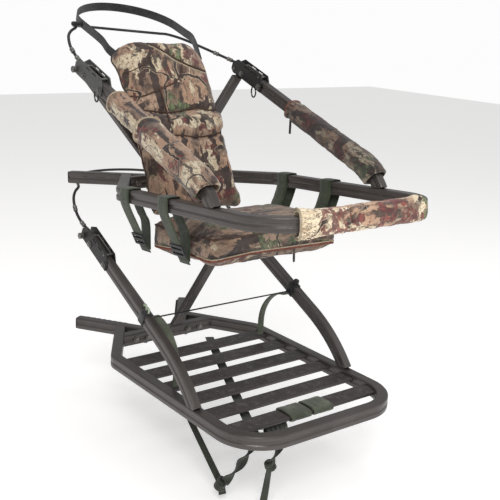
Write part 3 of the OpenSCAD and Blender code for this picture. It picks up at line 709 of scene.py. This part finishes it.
LEVELS = (0, .01, .025, .05, .2, .4, .55, .68, .78, .85, .9, .925, .945, .96, .972, .982, .99, .996, 1)
NO_SEAM = 9.0  # metres: a height no point of the pad reaches
back = loft("backrest_pad", [back_ring(t) for t in LEVELS], camo_back)
inflate(back, 0.010)
SEAM = [(-150, 680), (-112, 682), (-66, 695), (-8, 714), (18, 730), (32, 752), (38, 778)]


def line_z(line, x):
    """Height in metres of a seam line at x: carried on before its first point, NO_SEAM past its last."""
    for (xa, za), (xb, zb) in zip(line, line[1:]):
        if x <= xb * MM:
            return (za + (zb - za) * (x / MM - xa) / (xb - xa)) * MM
    return NO_SEAM


LUMBAR = (0.578, 0.643)
YOKE = ((-52, 818), (-20, 800), (20, 777), (60, 760), (100, 748), (124, 742))
DART = ((-140, 738), (-108, 752), (-78, 767), (-52, 788), (-44, 812))


def lumbar_wave(x):
    return 0.004 * math.sin(x * 38)


def back_move(p, n):
    """How far the backrest's surface moves: wrinkles, and in front the lumbar roll and the seams."""
    h = crumple(p, 20, 0.0028, 9) + crumple((p.x, p.y, p.z * 2.5), 60, 0.0008, 2)
    if n.y > 0.2:
        return h
    wave = lumbar_wave(p.x)
    h += dip(p.z, LUMBAR[1] + wave, 0.010, 0.006) + dip(p.z, LUMBAR[0] - wave, 0.011, 0.006)
    if LUMBAR[0] < p.z < LUMBAR[1]:
        h += 0.009 * math.sin(math.pi * (p.z - LUMBAR[0]) / (LUMBAR[1] - LUMBAR[0]))
        h += crumple((p.x * 3, p.y, p.z), 34, 0.003, 4)
    if p.x >= SEAM[0][0] * MM:
        h += dip(p.z, line_z(SEAM, p.x), 0.004, 0.005)
    if p.x > -0.06:
        h += dip(p.z, line_z(YOKE, p.x), 0.006, 0.006)
    near = min(abs(p.z - LUMBAR[1]), abs(p.z - LUMBAR[0]))
    h += 0.0018 * math.exp(-near / 0.02) * math.sin(p.x * 210 + 6 * noise.noise(p * 20))
    return h


shape(back, back_move)
refine(back)
place(back, "backrest", ("backrest",))
AHEAD, BEFORE = Vector((0, 1, 0)), 0.30  # seams are cast on to the pad along +Y, from this y in metres
for nm, z, sign in (("lumbar_seam_top", LUMBAR[1], 1), ("lumbar_seam_low", LUMBAR[0], -1)):
    pts = [Vector((x * MM, BEFORE, z + sign * lumbar_wave(x * MM))) for x in range(-144, 133, 6)]
    sweep(nm, snap(back, pts, 0.0006, AHEAD), ring(2.0, 8), trim, "backrest", slot="camo_fabric")
for nm, line, low, r, mat in (("shoulder_seam", SEAM, 0, 2.1, trim), ("yoke_seam", YOKE, 0, 2.6, trim),
                              ("yoke_piping", YOKE, 7, 2.6, pale_trim), ("dart_seam", DART, 0, 1.2, trim)):
    pts = smooth_path([Vector((x * MM, BEFORE, (z - low) * MM)) for x, z in line], 10)
    sweep(nm, snap(back, pts, 0.0006, AHEAD), ring(r, 8), mat, "backrest", slot="camo_fabric")
for nm, corner in (("right", 48), ("left", 0)):
    rim = [back_ring(0.03 + 0.96 * k / 48)[corner] for k in range(49)]
    sweep("backrest_piping_" + nm, snap(back, rim, 0.001), ring(2.2, 10), trim, "backrest",
          slot="camo_fabric")


# ---- sleeves and front pad --------------------------------------------------------------------
def sleeve(name, side, t0, t1, r_top, r_low, seams, node, mat):
    """Padded sleeve on a seat arm from t0 to t1 mm below its top end."""
    def outer(t, a):
        q = (t - t0) / (t1 - t0)
        r = r_top + (r_low - r_top) * q + sum(dip(t, s, 3.2, 3.5) for s in seams)
        r -= 2.4 * math.exp(-((t - t0 - 17) / 6) ** 2)
        r += 1.7 * noise.noise(Vector((t * 0.03, math.cos(a) * 1.3, math.sin(a) * 1.3 + side)))
        r += 0.9 * noise.noise(Vector((t * 0.12, math.cos(a) * 2.2, math.sin(a) * 2.2)))
        return r, r
    padded_tube(name, lambda t: seat_arm.frame(t, side), t0, t1, outer, (21.3, 21.3), mat, "seat", (node,),
                mouth=9, tail=16)


HEM_POWER = 0.77


def hem(name, side, t, r, thick, mat):
    """Rolled edge of a sleeve, a ring round the arm."""
    o, u, v = seat_arm.frame(t, side)
    pts = []
    for k in range(48):
        q = 2 * math.pi * k / 48
        rr = r + 0.9 * noise.noise(Vector((math.cos(q) * 2, math.sin(q) * 2, t)))
        pts.append(o + rounded(u, v, rr, rr, HEM_POWER, q))
    sweep(name, pts, ring(thick, 12), mat, "seat", wide=u.cross(v), closed=True, slot="camo_fabric")


def back_of(y):
    """Distance from the arm's top end to where it passes y, in the seat section's mm."""
    return (seat_arm.ty - y) / math.cos(seat_arm.a)


near_end, far_end = seat_arm.run + 50, seat_arm.run + 60
BANDS = (("high", 400), ("low", 322))  # stitched bands round the far sleeve, at these y
sleeve("sleeve_left_pad", 1, back_of(567), far_end, 26, 30, [back_of(y) for _, y in BANDS],
       "arm_sleeve_left", camo_far_shaded)
sleeve("sleeve_right_pad", -1, back_of(497), near_end, 33, 32, (back_of(330),), "arm_sleeve_right", camo_arm)
sleeve("sleeve_right_upper_pad", -1, back_of(635), back_of(505), 28, 26.5, (), "arm_sleeve_right_upper",
       camo_arm)
hem("sleeve_left_hem", 1, back_of(565), 25, 2.4, red_trim)
hem("sleeve_right_hem", -1, back_of(496), 32, 3.6, pale_trim)
hem("sleeve_right_upper_hem", -1, back_of(634), 27, 2.8, pale_trim)
for nm, y in BANDS:
    hem("sleeve_left_band_" + nm, 1, back_of(y), 26.0, 1.3, dull_trim)


BAR_HALF, BAR_BEND, BAR_Y = 131, 120, 15  # front bar: half its straight, its bend's radius, its y


def bar_frame(t):
    """Frame on the front bar, t mm along it from the middle."""
    b = max(0.0, abs(t) - BAR_HALF) / BAR_BEND
    s = math.copysign(1, t)
    x, y = t, BAR_Y
    if b:
        x, y = s * (BAR_HALF + BAR_BEND * math.sin(b)), BAR_Y + BAR_BEND - BAR_BEND * math.cos(b)
    nx, ny = (0, -1) if b == 0 else (s * math.sin(b), -math.cos(b))
    o = seat(x, y, 0)
    return o, (seat(x + nx, y + ny, 0) - o).normalized(), (seat(x, y, 1) - o).normalized()


BAR_FROM, BAR_TO, BAR_SEAM = -184, 178, -62  # the pad's ends and its cross seam, in mm along the bar


def bar_outer(t, a):
    r = dip(t, BAR_SEAM, 3.4, 3.5)
    r += 1.8 * noise.noise(Vector((t * 0.035, math.cos(a) * 1.4, math.sin(a) * 1.4)))
    r += 0.9 * noise.noise(Vector((t * 0.13, math.cos(a) * 2, math.sin(a) * 2)))
    near, far = math.exp(-((t - BAR_FROM) / 38) ** 2), math.exp(-((BAR_TO - t) / 34) ** 2)
    r += (1.6 * near + 2.2 * far) * math.sin(t * 0.75 + 1.3 * math.sin(a * 2))
    return 26 + r + 2.5 * near, 28.5 + r + 3.5 * near


padded_tube("front_bar_sleeve", bar_frame, BAR_FROM, BAR_TO, bar_outer, (18.5, 20.5), camo_bar, "seat",
            ("front_bar_pad",), 190, mouth=22)
for nm, at, r, mat in (("near", BAR_FROM + 1, 2.4, pale_trim), ("mid", BAR_SEAM, 1.6, red_trim)):
    o, u, v = bar_frame(at)
    ru, rv = bar_outer(at, 0.6)
    pts = [o + rounded(u, v, ru - 0.8, rv - 0.8, HEM_POWER, 2 * math.pi * k / 56) for k in range(56)]
    sweep("front_bar_seam_" + nm, pts, ring(r, 10), mat, "seat", wide=u.cross(v), closed=True,
          slot="camo_fabric")

# ---- webbing ------------------------------------------------------------------------------------
SIDES = ((1, "left"), (-1, "right"))
HANGER = [(210, -146), (240, -82), (268, -18), (269, 15), (264, 19.6), (240, 19.6), (234.5, 15), (234, -14),
          (222, -46), (211, -72), (210.5, -138)]  # x and z up the outside, over the rail and down inside
for side, nm in SIDES:
    for k, y in enumerate((404, 584)):
        pts = smooth_path([seat(side * x, y, z) for x, z in HANGER], 7)
        sweep("hanger_%s_%d" % (nm, k + 1), pts, flat(44, 2.2), MATS["olive_webbing"], "seat",
              ("hanger_straps_" + nm,) if k == 0 else (), wide=seat(0, 1, 0) - seat(0, 0, 0),
              slot="olive_webbing")

CORD_Y, CORD_Z = (plat_arm.ty - CORD_AT * math.cos(plat_arm.a) + 6 * math.sin(plat_arm.a),
                  plat_arm.tz - CORD_AT * math.sin(plat_arm.a) - 6 * math.cos(plat_arm.a) - RAIL_H / 2)
cord = [Vector((x, CORD_Y, CORD_Z)) * MM for x in (-222, -110, 0, 110, 222)]
sweep("stirrup_cord_line", smooth_path(cord, 8), ring(2, 12), MATS["cable_coat"], "platform", ("stirrup_cord",))
LOOP_X, LOOP_Z, LOOP_R = 206, 34, 118  # heel loops: side distance, height of the arc's centre, its radius
for side, nm, yc, way in ((1, "left", 428, 1), (-1, "right", 478, -1)):
    pts = [Vector((side * LOOP_X, yc + way * LOOP_R * math.cos(math.radians(a)),
                   LOOP_Z + LOOP_R * math.sin(math.radians(a)))) * MM for a in range(84, -1, -6)]
    pts += [Vector((side * LOOP_X, yc + way * LOOP_R, z)) * MM for z in (22, 8, -4)]
    sweep("heel_strap_" + nm, smooth_path(pts, 3), flat(22, 4.4), MATS["green_pads"], "heel_loop_" + nm,
          ("heel_loop_" + nm,), wide=Vector((1, 0, 0)))


def toe_frame(x):
    return Vector((x, 101, -11.5)) * MM, Vector((0, 1, 0)), Vector((0, 0, 1))


def toe_outer(t, a):
    return (33.5 + 0.8 * noise.noise(Vector((t * .1, a, 0))), 10.6 + noise.noise(Vector((t * .1, a, 3))))


for k, x in enumerate((-36, 34)):
    padded_tube("toe_pad_%d" % (k + 1), toe_frame, x - 31, x + 31, toe_outer, (29.5, 8.0),
                MATS["green_pads"], "platform", ("toe_pads",) if k == 0 else (), 40, 48, 3)

turns = []
for i in range(181):
    q = math.radians(i * 10)
    turns.append(Vector((-136 + i * 0.37, 88 + i * 0.03 + 12 * math.cos(q), -31 + 11 * math.sin(q))) * MM)
turns += [Vector((-64, 98, -30)) * MM, Vector((-56, 104, -27)) * MM]
sweep("toe_strap_tie", turns, flat(11, 2.4), dark_olive, "platform", ("toe_strap_coil",),
      wide=Vector((1, 0, 0)))

a, b = Vector((112, 672, -37)), Vector((-168, 72, -37))  # carry strap, slung under the slats
pts = [(a.lerp(b, k / 10) + Vector((0, 0, -3 * math.sin(math.pi * k / 10)))) * MM for k in range(11)]
run = (b - a).normalized()
sweep("carry_strap", smooth_path(pts, 4), flat(26, 2.4), MATS["olive_webbing"], "platform",
      ("transport_strap",), wide=Vector((run.y, -run.x, 0)))


def tether(name, pts, w, turns=0.0, stands_for=()):
    """Tie-down webbing; turns is how many half-turns it is twisted through."""
    path = smooth_path([Vector(p) * MM for p in pts], 12)
    axis = (path[-1] - path[0]).normalized()
    base = Vector((1, 0.25, 0))
    base = (base - axis * base.dot(axis)).normalized()
    wide = [Matrix.Rotation(math.pi * turns * i / len(path), 3, axis) @ base for i in range(len(path))]
    sweep(name, path, flat(w, 3.4), dark_olive, "platform", stands_for, wide=wide, slot="olive_webbing")


def knot(name, centre, axis, r, loops):
    """Webbing wrapped round itself, drawn tight."""
    axis = Vector(axis).normalized()
    u = axis.orthogonal().normalized()
    v = axis.cross(u)
    pts = []
    for i in range(int(loops * 18) + 1):
        q = 2 * math.pi * i / 18
        lift = (i / 18 - loops / 2) * 6.5 * MM + 2.2 * MM * math.sin(q + 1)
        around = u * math.cos(q) + v * math.sin(q)
        pts.append(centre + axis * lift + around * (r + 1.2 * math.sin(q * 1.7)) * MM)
    sweep(name, pts, flat(10, 5), dark_olive, "platform", wide=axis, slot="olive_webbing")


tether("tether_near", [(-226, 285, -30), (-223, 270, -52), (-214, 213, -116), (-205, 160, -176)], 17, 0.15,
       ("tether_straps",))
tether("tether_twisted", [(-160, 85, -30), (-163, 90, -52), (-178, 112, -108), (-200, 148, -172)], 23, 3.6)
tether("tether_front", [(-128, 33, -30), (-131, 37, -52), (-137, 49, -82), (-140, 55, -100)], 20, 1.5)
tether("tether_tail_near", [(-205, 157, -176), (-204, 154, -190), (-203, 151, -205)], 19, 0.2)
tether("tether_tail_front", [(-140, 55, -100), (-143, 57, -130), (-146, 60, -170), (-148, 64, -205)], 18, 0.3)
knot("tether_knot_near", Vector((-205, 157, -180)) * MM, (0.25, -0.35, 1), 11, 3.6)
knot("tether_knot_front", Vector((-140, 55, -102)) * MM, (-0.4, 0.3, 1), 10, 2.8)

# ---- backrest strap: follows the pad in front and the trunk behind --------------------------------
CLIMB = math.radians(18)
BELT_Y, BELT_Z, BELT_R = 824, 812, 156  # where the belt's plane starts, and its radius round the trunk
EASE = 60  # mm over which the belt leaves the pad


def round_trunk(x, d):
    """Point on the belt's rising plane, d mm back from where it starts."""
    return Vector((x, BELT_Y + d * math.cos(CLIMB), BELT_Z + d * math.sin(CLIMB))) * MM


depth = (TRUNK_Y - BELT_Y) / math.cos(CLIMB)
sag = lambda d: Vector((0, 0, -0.018 * (1 - min(1, d / EASE)) ** 2))
loop_pts = [Vector((0.140, 0.806, 0.766))]
loop_pts += [round_trunk(BELT_R - 12 + 12 * min(1, d / EASE), d) + sag(d) * 1.5 for d in (4, 30, 60, 100)]
loop_pts += [round_trunk(BELT_R * math.cos(math.radians(q)), depth + BELT_R * math.sin(math.radians(q)))
             for q in range(0, 181, 9)]
loop_pts += [round_trunk(-(BELT_R - 8 + 8 * min(1, d / EASE)), d) + sag(d) for d in (100, 60, 30, 4)]
loop_pts.append(Vector((-0.138, 0.806, 0.782)))
strap = sweep("backrest_belt", smooth_path(loop_pts, 4), flat(25, 2.4), MATS["black_webbing"], None,
              ("backrest_strap",), wide=Vector((0, -math.sin(CLIMB), math.cos(CLIMB))))
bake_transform(strap)
hub, outward = round_trunk(-BELT_R, depth), Vector((-1, 0, 0))
BUCKLE = ((-3, 4, 3), (-1, 6, 5), (1, 7, 6), (6, 7, 6), (9, 5.5, 4.6), (10, 5.5, 4.6), (15, 6.6, 5.6),
          (16, 5.6, 4.8), (20, 6.4, 5.2), (27, 6.4, 5.0), (31, 5.6, 4.2), (33, 3.5, 2.2))
buckle = swell("belt_buckle", [hub + outward * d * MM for d, _, _ in BUCKLE], [(a, b) for _, a, b in BUCKLE],
               MATS["black_plastic"], None, wide=Vector((0, 0, 1)), square=0.55, slot="black_plastic")
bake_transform(buckle)

# ---- cables -------------------------------------------------------------------------------------
def half_turn(r, z0, z1, back):
    """Rear half of a cable loop of radius r, from the far side (height z0) round to the near side (z1)."""
    return [Vector((r * math.cos(math.radians(q)), back + r * math.sin(math.radians(q)),
                    z0 + (z1 - z0) * math.sin(math.radians(q) / 2) ** 2)) for q in range(15, 166, 10)]


o = seat(254, seat_arm.ty + 21 * math.cos(seat_arm.a) - 12 * math.sin(seat_arm.a),
         seat_arm.tz + 21 * math.sin(seat_arm.a) + 12 * math.cos(seat_arm.a)) / MM
near_plat = [(-243, 759, 316), (-247, 787, 328), (-250, 812, 347), (-247, 836, 368), (-235, 866, 385),
             (-213, 900, 395), (-184, 937, 400)]
# Far side's points, height where they meet the rear half turn, then the same for the near side.
cables = {
    "platform": ([(-x, y, z) for x, y, z in near_plat], 401, near_plat, 401),
    "seat": ([(254, o.y, o.z), (241, 800, 772), (206, 866, 796), (176, 922, 816), (163, 965, 826)], 832,
             [(-254, o.y, o.z), (-257, 800, 779), (-253, 842, 802), (-236, 888, 826), (-209, 928, 839),
              (-176, 966, 847)], 851),
}
FITTING = ((-9, 4.3), (-8.4, 5.6), (-6, 6.2), (-5.4, 6.2), (-3, 6.2), (-2.6, 5.4), (2.6, 5.4), (3, 6.2),
           (5.4, 6.2), (6, 6.2), (8.4, 5.6), (9, 4.3))  # distance along the cable and radius
for nm, (far_pts, far_z, near_pts, near_z) in cables.items():
    run_pts = [Vector(p) for p in far_pts] + half_turn(160, far_z, near_z, TRUNK_Y + 8)
    run_pts += [Vector(p) for p in near_pts[::-1]]
    line = smooth_path([p * MM for p in run_pts], 8)
    sweep(nm + "_cable_line", line, ring(4, 14), MATS["cable_coat"], nm, (nm + "_cable",))
    for side, seq in (("left", line), ("right", line[::-1])):
        total = [0.0]
        for a, b in zip(seq, seq[1:]):
            total.append(total[-1] + (b - a).length)
        for k, at in enumerate((0.030, 0.085) if side == "left" or nm == "platform" else (0.024, 0.060)):
            i = min(range(len(total)), key=lambda j: abs(total[j] - at))
            tan = (seq[i + 1] - seq[i - 1]).normalized()
            swell("%s_fitting_%s_%d" % (nm, side, k + 1), [seq[i] + tan * d * MM for d, _ in FITTING],
                  [r for _, r in FITTING], MATS["zinc_steel"], nm,
                  (nm + "_cable_stops",) if side == "left" and k == 0 else (), slot="zinc_steel")

# ---- small cord loops, hooks ------------------------------------------------------------------------
for side, nm in SIDES:
    y, z, _ = seat_arm.at(62)
    pts = [seat(side * 254, y + dy, z + dz) for dy, dz in
           ((-4, -17), (-9, -27), (-11, -40), (-4, -50), (5, -48), (9, -36), (6, -24), (3, -17))]
    sweep("pull_cord_" + nm, smooth_path(pts, 6), ring(2.2, 10), MATS["black_webbing"], "seat",
          ("pull_loops",) if side > 0 else (), slot="black_webbing")

for side, nm in SIDES:
    o, u, v = plat_arm.frame(CORD_AT, side)
    ahead = v.cross(u)
    pts = [o + rounded(u, v, 12.6, 18.6, 0.4, 2 * math.pi * k / 48) for k in range(48)]
    sweep("stirrup_collar_" + nm, pts, flat(24, 3.2), MATS["black_webbing"], "platform",
          ("stirrup_hooks",) if side > 0 else (), wide=ahead, closed=True, slot="black_webbing")
    if side > 0:
        knob = ((20, 6.5), (21, 8), (23, 8.6), (26, 8.6), (27.5, 7.4), (28.5, 7.4), (30, 8.2), (32, 7.6),
                (33, 5))
        swell("stirrup_knob", [o + v * d * MM for d, _ in knob], [r for _, r in knob], MATS["black_plastic"],
              "platform", wide=u, slot="black_plastic")
    else:
        for k, d in enumerate((-7, 6)):
            hook = [(21, 0), (27, 1), (31, 5), (31.5, 10), (28, 13), (24, 12)]
            pts = smooth_path([o + v * h * MM + ahead * (d + e) * MM for h, e in hook], 6)
            sweep("stirrup_hook_%d" % (k + 1), pts, ring(2.6, 10), pale_hook, "platform", wide=u,
                  slot="black_plastic")
    base = o - u * side * 14.5 * MM - v * 6 * MM
    swell("stirrup_eye_" + nm, [base - u * side * d * MM for d in (-1, 0, 2, 4.5, 6, 6.6)],
          [5, 6.2, 6.4, 6.2, 4.5, 2.6], MATS["black_plastic"], "platform", wide=v, slot="black_plastic")

# ---- floor, light, camera ---------------------------------------------------------------------------
floor_z = cad_lo.z - 0.02
me = bpy.data.meshes.new("floor")
me.from_pydata([(-9, -9, floor_z), (9, -9, floor_z), (9, 9, floor_z), (-9, 9, floor_z)], [], [(0, 1, 2, 3)])
floor = bpy.data.objects.new("floor", me)
bpy.context.scene.collection.objects.link(floor)
fm = Mat("floor_pale", 0.9)
me.materials.append(fm.out(lin(248, 247, 246), Emission_Color=(1, 1, 1, 1), Emission_Strength=0.36))

world = bpy.data.worlds.new("studio")
bpy.context.scene.world = world
world.use_nodes = True
tree = world.node_tree
tree.nodes["Background"].inputs[0].default_value = (1, 1, 1, 1)
# The sky lights the object softly and is nearly white where the camera sees it.
seen = tree.nodes.new("ShaderNodeLightPath")
level = tree.nodes.new("ShaderNodeMapRange")
level.inputs["To Min"].default_value, level.inputs["To Max"].default_value = 0.42, 0.98
tree.links.new(seen.outputs["Is Camera Ray"], level.inputs["Value"])
tree.links.new(level.outputs[0], tree.nodes["Background"].inputs[1])
for nm, loc, size, power in (("key", (-2.2, -2.4, 3.0), 1.7, 88), ("fill", (2.6, -1.2, 1.8), 2.5, 14),
                             ("top", (0.2, 0.6, 3.4), 2.5, 26)):
    ld = bpy.data.lights.new(nm, "AREA")
    ld.size, ld.energy = size, power
    lo = bpy.data.objects.new(nm, ld)
    lo.location = loc
    lo.rotation_euler = (Vector((0, 0.45, 0.35)) - Vector(loc)).to_track_quat("-Z", "Y").to_euler()
    bpy.context.scene.collection.objects.link(lo)

cd = bpy.data.cameras.new("camera")
cd.lens, cd.sensor_width = 64.3, 36.0
cam = bpy.data.objects.new("camera", cd)
bpy.context.scene.collection.objects.link(cam)
# The camera's own axes, as solved from the frame's symmetric pairs, then turned 0.9 degrees about X.
axes = [Vector((0.79620, -0.60400, 0.03550)), Vector((0.12440, 0.22083, 0.96735)),
        Vector((-0.59212, -0.76578, 0.25096))]
TURN_C, TURN_S = 0.99988, 0.01571
axes = [Vector((v.x, TURN_C * v.y + TURN_S * v.z, -TURN_S * v.y + TURN_C * v.z)) for v in axes]
rot = Matrix(axes).transposed().to_4x4()
cam.matrix_world = Matrix.Translation(Vector((-1.3470, -1.3838, 0.9266))) @ rot
bpy.context.scene.camera = cam
bpy.context.scene.view_settings.view_transform = "Standard"
